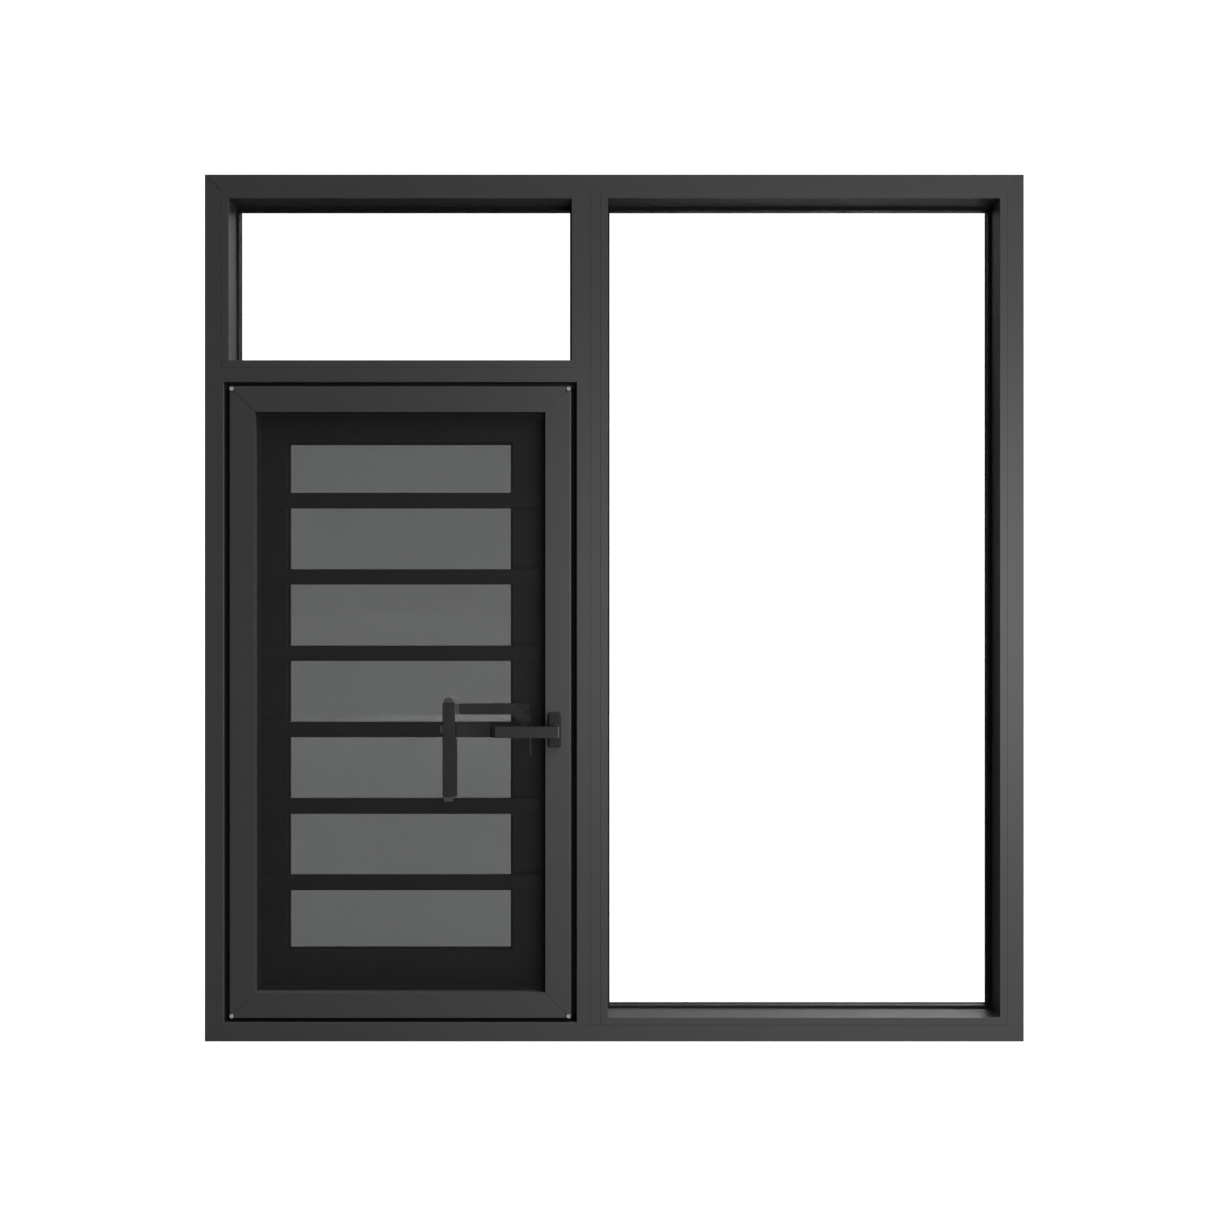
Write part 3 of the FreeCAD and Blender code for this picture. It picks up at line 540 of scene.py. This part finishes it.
class WINDOW_OT_model_sash_handle(bpy.types.Operator):
    """Model the glazed sash's base blocks, rod and screws, its cranked arm, and its grip"""

    bl_idname = "window.model_sash_handle"
    bl_label = "Model sash handle"

    arm_thickness = 11.5 * MM
    arm_height = 19.5 * MM

    def execute(self, context):
        finish = context.scene.window_finish
        coat = satin_coated_zinc("satin_coated_zinc_sash", finish.sash_handle, roughness=0.38)
        self.model_base(coat)
        self.model_small_steel(plated_steel("zinc_plated_steel", srgb(STEEL_GREY)))
        self.model_crank(coat)
        self.model_shell(coat)
        self.model_core(moulded_polymer("grey_nylon", finish.core, roughness=0.55))
        return {"FINISHED"}

    def model_base(self, coat):
        """Two blocks on the stile, one above the other, and the collar that the spindle turns in."""
        low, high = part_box("sash_handle_base")
        upper_height, line = 12.6 * MM, 0.8 * MM
        corner_radius, rim, rise = 1.6 * MM, 1.2 * MM, 0.6 * MM
        collar_radius, collar_length, collar_forward = 8.0 * MM, 4.0 * MM, 1.5 * MM
        split = high.z - upper_height
        upper = block("sash_handle_blocks", (low.x, low.y, split + line / 2), high)
        lower = block("lower_block", low, (high.x, high.y, split - line / 2))
        for piece in (upper, lower):
            round_edges(piece, along_depth, corner_radius, segments=4)
            raise_face(piece, facing_room, rim, ROOM * rise)
            soften(piece, width=0.4 * MM)
        collar = pin("collar", self.spindle() + ROOM * collar_forward, collar_radius,
                     collar_length, vertices=32)
        soften(collar, width=0.8 * MM)
        join(upper, lower, collar)
        hand_over(upper, coat, "handle", "sash_handle_base")

    def spindle(self):
        """Where the spindle meets the base."""
        low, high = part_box("sash_handle_base")
        from_side, above_foot = 5.2 * MM, 32.9 * MM
        return Vector((high.x - from_side, low.y, low.z + above_foot))

    def model_small_steel(self, steel):
        """The thin rod that hangs from the base, and a screw at each side of the spindle."""
        low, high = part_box("sash_handle_base")
        radius, sunk = 1.6 * MM, 0.1 * MM
        drop, seat = 39.0 * MM, 3.0 * MM
        rod = pin("sash_handle_rod",
                  (high.x + radius - sunk, high.y - radius, low.z + (seat - drop) / 2),
                  radius, drop + seat, vertices=20, turn=UPRIGHT)
        soften(rod, width=0.5 * MM)
        hand_over(rod, steel, "handle")
        head_radius, head_thickness = 2.4 * MM, 1.6 * MM
        rim, recess = 1.3 * MM, 0.7 * MM
        spread, leftward, below = 16.0 * MM, 2 * MM, 13.2 * MM
        screws = []
        for side, carrier in ((-1, low.y), (1, high.y)):
            place = self.spindle() + Vector((side * spread - leftward, 0, -below))
            place.y = carrier - head_thickness / 2
            screw = pin("sash_handle_screws", place, head_radius, head_thickness, vertices=24)
            raise_face(screw, facing_room, rim, -ROOM * recess)
            soften(screw, width=0.3 * MM)
            screws.append(screw)
        hand_over(join(*screws), steel, "handle")

    def model_crank(self, coat):
        """A level arm that turns down to the spindle by an eighth of a turn."""
        low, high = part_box("sash_handle_arm")
        base_low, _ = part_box("sash_handle_base")
        back = low.y + self.arm_thickness
        knee_gap, run_length = 2.3 * MM, 38.0 * MM
        tip_radius, end_radius, spindle_radius = 4.0 * MM, 3.0 * MM, 5.5 * MM
        knee = Vector((base_low.x - knee_gap, (low.y + back) / 2, high.z - self.arm_height / 2))
        turn = math.radians(22.5)  # of each end face, half of the arm's eighth of a turn
        run = run_length * Vector((math.cos(2 * turn), 0, -math.sin(2 * turn)))
        tip = knee + run
        arm = block("sash_handle_crank", (low.x, low.y, high.z - self.arm_height),
                    (knee.x, back, high.z))
        pick(arm, "FACE", lambda _, normal: normal.x > STRAIGHT)
        self.turn_end(knee, turn, 1 / math.cos(turn))
        bpy.ops.mesh.extrude_region_move(TRANSFORM_OT_translate={"value": run})
        self.turn_end(tip, turn, math.cos(turn))
        bpy.ops.object.mode_set(mode="OBJECT")
        round_edges(arm, depth_edges(lambda middle: (middle - tip).length < 0.6 * self.arm_height),
                    tip_radius, segments=5)
        round_edges(arm, depth_edges(lambda middle: middle.x < low.x + NEAR), end_radius, segments=4)
        soften(arm, width=1.2 * MM)
        seat = self.spindle()
        spindle = pin("spindle", (seat.x, (back + seat.y) / 2, seat.z), spindle_radius,
                      seat.y - back, vertices=32)
        soften(spindle, width=0.6 * MM)
        join(arm, spindle)
        hand_over(arm, coat, "handle", "sash_handle_arm")

    def turn_end(self, centre, angle, stretch):
        """Turns the picked end face about its centre, and stretches it to keep the arm's height."""
        bpy.ops.transform.rotate(value=-angle, orient_axis="Y", center_override=centre)
        bpy.ops.transform.resize(value=(stretch, 1, stretch), center_override=centre)

    def shell_box(self):
        """The low and high corner of the grip's shell, along its narrower upper part."""
        low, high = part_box("sash_handle_grip")
        # Room for what stands out of the shell: side pin and foot, then knuckle and round top
        side_pin, foot, knuckle, top = 3.8 * MM, 8.2 * MM, 8.6 * MM, 9.2 * MM
        return (Vector((low.x + side_pin, low.y, low.z + foot)),
                Vector((high.x - knuckle, high.y, high.z - top)))

    def model_shell(self, coat):
        """A hanging shell that grows wider below its shoulder."""
        low, high = self.shell_box()
        shoulder_height, slope_height = 100 * MM, 10 * MM
        swell, foot_radius = 4.2 * MM, 3.0 * MM
        shoulder = low.z + shoulder_height
        shell = block("sash_handle_shell", low, high)
        cut_across(shell, (0, 0, shoulder), (0, 0, 1))
        cut_across(shell, (0, 0, shoulder + slope_height), (0, 0, 1))
        pick(shell, "FACE", lambda middle, normal: normal.x > STRAIGHT and middle.z < shoulder)
        bpy.ops.transform.translate(value=(swell, 0, 0))
        bpy.ops.object.mode_set(mode="OBJECT")
        round_edges(shell, depth_edges(lambda middle: middle.z < low.z + NEAR), foot_radius,
                    segments=5)
        soften(shell, width=1.3 * MM, segments=4)
        hand_over(shell, coat, "handle", "sash_handle_grip")

    def model_core(self, nylon):
        """The paler piece in the shell. Its round top, foot, side pin and knuckle show round it."""
        whole_low, whole_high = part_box("sash_handle_grip")
        low, high = self.shell_box()
        middle = (low.y + high.y) / 2
        inset = 1.6 * MM
        core_half, pin_half = 3.5 * MM, 4.0 * MM
        foot_taper, top_roundness = 0.75, 0.97
        core = block("sash_handle_core", (low.x + inset, middle - core_half, whole_low.z),
                     (high.x - inset, middle + core_half, whole_high.z))
        half_width = (high.x - low.x) / 2 - inset
        cut_across(core, (0, 0, low.z), (0, 0, 1))
        pick(core, "FACE", lambda _, normal: normal.z < -STRAIGHT)
        bpy.ops.transform.resize(value=(foot_taper, 1, 1),
                                 center_override=((low.x + high.x) / 2, middle, whole_low.z))
        bpy.ops.object.mode_set(mode="OBJECT")
        round_edges(core, depth_edges(lambda middle: middle.z > whole_high.z - NEAR),
                    top_roundness * half_width, segments=10)
        soften(core, width=0.7 * MM)
        knuckle_below_top, knuckle_half = 11.5 * MM, 8.5 * MM
        level = high.z - knuckle_below_top
        pin_top, pin_foot, pin_radius = level - 30.4 * MM, level - 43.0 * MM, 1.4 * MM
        pin_depth, knuckle_depth = 2 * MM, 1 * MM  # how far each reaches into the shell
        side = block("side_pin", (whole_low.x, middle - pin_half, pin_foot),
                     (low.x + pin_depth, middle + pin_half, pin_top))
        round_edges(side, depth_edges(lambda middle: middle.x < low.x), pin_radius, segments=3)
        soften(side, width=0.5 * MM)
        knuckle = block("knuckle", (high.x - knuckle_depth, middle - pin_half, level - knuckle_half),
                        (whole_high.x, middle + pin_half, level + knuckle_half))
        rim, recess = 1.5 * MM, 0.8 * MM
        raise_face(knuckle, facing_room, rim, -ROOM * recess)
        soften(knuckle, width=0.5 * MM)
        join(core, side, knuckle)
        hand_over(core, nylon, "handle")


class WINDOW_OT_fit_corner_keys(bpy.types.Operator):
    """Fill the screen sash's corner pockets with coated keys, each with a round nylon plug"""

    bl_idname = "window.fit_corner_keys"
    bl_label = "Fit corner keys"

    def execute(self, context):
        finish = context.scene.window_finish
        low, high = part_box("screen_corner_keys")
        size, corner_radius = 9.0 * MM, 2.4 * MM
        plug_radius, plug_length = 3.4 * MM, 2.0 * MM
        rim, recess = 1.6 * MM, 0.5 * MM
        across = Vector((high.x - low.x - size, 0, 0))
        up = Vector((0, 0, high.z - low.z - size))
        key = block("screen_corner_keys_coated", low, (low.x + size, high.y, low.z + size))
        round_edges(key, along_depth, corner_radius, segments=6)
        soften(key, width=0.3 * MM)
        middle = low + Vector((size / 2, 0, size / 2))
        plug = pin("screen_corner_plugs", middle, plug_radius, plug_length, vertices=32)
        raise_face(plug, facing_room, rim, -ROOM * recess)
        soften(plug, width=0.4 * MM)
        steps = (across, up, across + up)
        coat = powder_coated_aluminium("powder_coated_corner_key", finish.coat, roughness=0.40)
        hand_over(repeat_at(key, steps), coat, "powder_coat", "screen_corner_keys")
        nylon = moulded_polymer("off_white_nylon", srgb(PLUG_WHITE), roughness=0.45)
        hand_over(repeat_at(plug, steps), nylon, "corner_key")
        return {"FINISHED"}


class WINDOW_OT_set_stage(bpy.types.Operator):
    """Set the pale floor, the lights and the camera"""

    bl_idname = "window.set_stage"
    bl_label = "Set stage"

    white_backdrop = 1.29  # strength of the world where the camera looks
    white_floor = 1.15  # strength of the floor's glow where the camera looks
    dim_floor = 0.035  # strength of the floor's glow for all other light
    floor_grey = "#6c6c6c"

    def execute(self, context):
        self.lay_floor()
        self.paint_world(context.scene)
        self.hang_lights(context.scene)
        self.place_camera(context.scene)
        context.scene.view_settings.view_transform = "Standard"
        context.scene.cycles.caustics_refractive = False
        context.scene.cycles.caustics_reflective = False
        return {"FINISHED"}

    def seen_straight(self, tree):
        """1 for what the camera sees straight or through glass, 0 for light that falls on a piece."""
        path = add_node(tree, "ShaderNodeLightPath")
        direct = add_node(tree, "ShaderNodeMath", {
            0: (path, "Is Camera Ray"), 1: (path, "Is Transmission Ray")}, operation="MAXIMUM")
        bounces = add_node(tree, "ShaderNodeMath", {
            0: (path, "Diffuse Depth"), 1: (path, "Glossy Depth")}, operation="ADD")
        none = add_node(tree, "ShaderNodeMath", {0: (bounces, 0), 1: 0.5}, operation="LESS_THAN")
        return add_node(tree, "ShaderNodeMath", {0: (direct, 0), 1: (none, 0)}, operation="MULTIPLY")

    def lay_floor(self):
        """A wide pale floor, even to the horizon, that throws hardly any light on the window."""
        deselect()
        bpy.ops.mesh.primitive_circle_add(vertices=64, radius=60, fill_type="NGON", location=(0, 0, 0))
        floor = settle("floor")
        material, tree, shader = new_material("pale_studio_floor", {
            "Roughness": 0.9, "Specular IOR Level": 0.0, "Emission Color": [1, 1, 1, 1]})
        seen = self.seen_straight(tree)
        matt = add_node(tree, "ShaderNodeMix", {"Factor": (seen, 0), "A": [0, 0, 0, 1],
                                                "B": [*srgb(self.floor_grey), 1]}, data_type="RGBA")
        tree.links.new(matt.outputs["Result"], shader.inputs["Base Color"])
        glow = add_node(tree, "ShaderNodeMix", {"Factor": (seen, 0), "A": self.dim_floor,
                                                "B": self.white_floor}, data_type="FLOAT")
        tree.links.new(glow.outputs["Result"], shader.inputs["Emission Strength"])
        floor.data.materials.append(material)
        floor.visible_diffuse = False
        floor.visible_glossy = False

    def paint_world(self, scene):
        """White where the camera looks, and soft patches of sky that light and tint the window."""
        patches = (
            # azimuth from straight outside, elevation, even out to, faded by, strength
            (33, 36, 12, 25, 4.25),  # outside, right and high
            (112, 56, 10, 24, 11.5),  # right and high
            (112, 20, 15, 30, 1.2),  # right and low
            (158, -18, 13, 33, 0.9),  # room side, below the horizon
            (158, 42, 16, 40, 0.2),  # room side, high
            (-25, 32, 11, 26, 0.44),  # outside, left and high
            (-20, 6, 10, 26, 0.06),  # outside, left and level
            (4, -17, 14, 28, 0.6),  # outside, below the horizon
        )
        world = bpy.data.worlds.new("studio")
        scene.world = world
        world.use_nodes = True
        tree = world.node_tree
        background = tree.nodes["Background"]
        direction = add_node(tree, "ShaderNodeTexCoord")
        sky = None
        for azimuth, elevation, even, faded, strength in patches:
            turn, rise = math.radians(azimuth), math.radians(elevation)
            middle = (math.sin(turn) * math.cos(rise), math.cos(turn) * math.cos(rise), math.sin(rise))
            near = add_node(tree, "ShaderNodeVectorMath", {0: (direction, "Generated"), 1: middle},
                            operation="DOT_PRODUCT")
            patch = add_node(tree, "ShaderNodeMapRange", {
                "Value": (near, "Value"), "From Min": math.cos(math.radians(faded)),
                "From Max": math.cos(math.radians(even)), "To Max": strength},
                interpolation_type="SMOOTHSTEP")
            sky = add_node(tree, "ShaderNodeMath", {0: (sky, 0) if sky else 0.0, 1: (patch, 0)},
                           operation="ADD")
        seen = self.seen_straight(tree)
        shown = add_node(tree, "ShaderNodeMix", {"Factor": (seen, 0), "A": (sky, 0),
                                                 "B": self.white_backdrop}, data_type="FLOAT")
        background.inputs["Color"].default_value = [1, 1, 1, 1]
        tree.links.new(shown.outputs["Result"], background.inputs["Strength"])

    def hang_lights(self, scene):
        """Two weak panels right of the camera, which show as a sheen, and fill outside and left."""
        aim = Vector((0.0, 0.0, 0.78))
        lights = (
            # name, place, width, height, watts, whether it shows as a sheen
            ("panel_right", (1.27, -2.38, 0.78), 0.9, 1.3, 13.0, True),
            ("panel_near", (0.70, -2.61, 0.78), 0.9, 1.3, 14.2, True),
            ("outside_fill", (0.0, 6.0, 1.2), 3.0, 3.0, 160.0, False),
            ("left_fill", (-4.0, 0.0, 1.2), 0.5, 2.0, 70.0, False),
        )
        for name, place, width, height, watts, sheen in lights:
            data = bpy.data.lights.new(name, "AREA")
            data.shape = "RECTANGLE"
            data.size = width
            data.size_y = height
            data.energy = watts
            light = bpy.data.objects.new(name, data)
            light.location = place
            light.rotation_euler = (aim - Vector(place)).to_track_quat("-Z", "Y").to_euler()
            light.visible_camera = False
            light.visible_transmission = False
            light.visible_glossy = sheen
            scene.collection.objects.link(light)

    def place_camera(self, scene):
        """A level camera straight before the window, shifted as the photograph is framed."""
        stage = scene.window_stage
        data = bpy.data.cameras.new("camera")
        data.sensor_width = 36
        data.lens = stage.lens
        data.shift_x, data.shift_y = stage.shift
        camera = bpy.data.objects.new("camera", data)
        camera.location = stage.eye
        camera.rotation_euler = (math.pi / 2, 0, 0)
        scene.collection.objects.link(camera)
        scene.camera = camera


STEPS = (
    WINDOW_OT_coat_profiles,
    WINDOW_OT_glaze,
    WINDOW_OT_fit_seals,
    WINDOW_OT_weave_screen,
    WINDOW_OT_model_screen_handle,
    WINDOW_OT_model_sash_handle,
    WINDOW_OT_fit_corner_keys,
    WINDOW_OT_set_stage,
)


class WINDOW_PT_panel(bpy.types.Panel):
    """Lists the steps that dress the window"""

    bl_label = "Combination Window"
    bl_idname = "WINDOW_PT_panel"
    bl_space_type = "VIEW_3D"
    bl_region_type = "UI"
    bl_category = "Window"

    def draw(self, context):
        scene = context.scene
        for group in (scene.window_finish, scene.window_mesh, scene.window_stage):
            for name in group.__annotations__:
                self.layout.prop(group, name)
        for step in STEPS:
            self.layout.operator(step.bl_idname)


CLASSES = (WindowFinish, WindowMesh, WindowStage, *STEPS, WINDOW_PT_panel)


def register():
    """Registers the classes and their settings."""
    for cls in CLASSES:
        bpy.utils.register_class(cls)
    bpy.types.Scene.window_finish = bpy.props.PointerProperty(type=WindowFinish)
    bpy.types.Scene.window_mesh = bpy.props.PointerProperty(type=WindowMesh)
    bpy.types.Scene.window_stage = bpy.props.PointerProperty(type=WindowStage)


def unregister():
    """Takes the classes and their settings away."""
    del bpy.types.Scene.window_stage
    del bpy.types.Scene.window_mesh
    del bpy.types.Scene.window_finish
    for cls in reversed(CLASSES):
        bpy.utils.unregister_class(cls)


def main():
    """Dresses the window step by step."""
    register()
    for step in STEPS:
        group, name = step.bl_idname.split(".")
        getattr(getattr(bpy.ops, group), name)()
    deselect()
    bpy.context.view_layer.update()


if __name__ == "__main__":
    main()
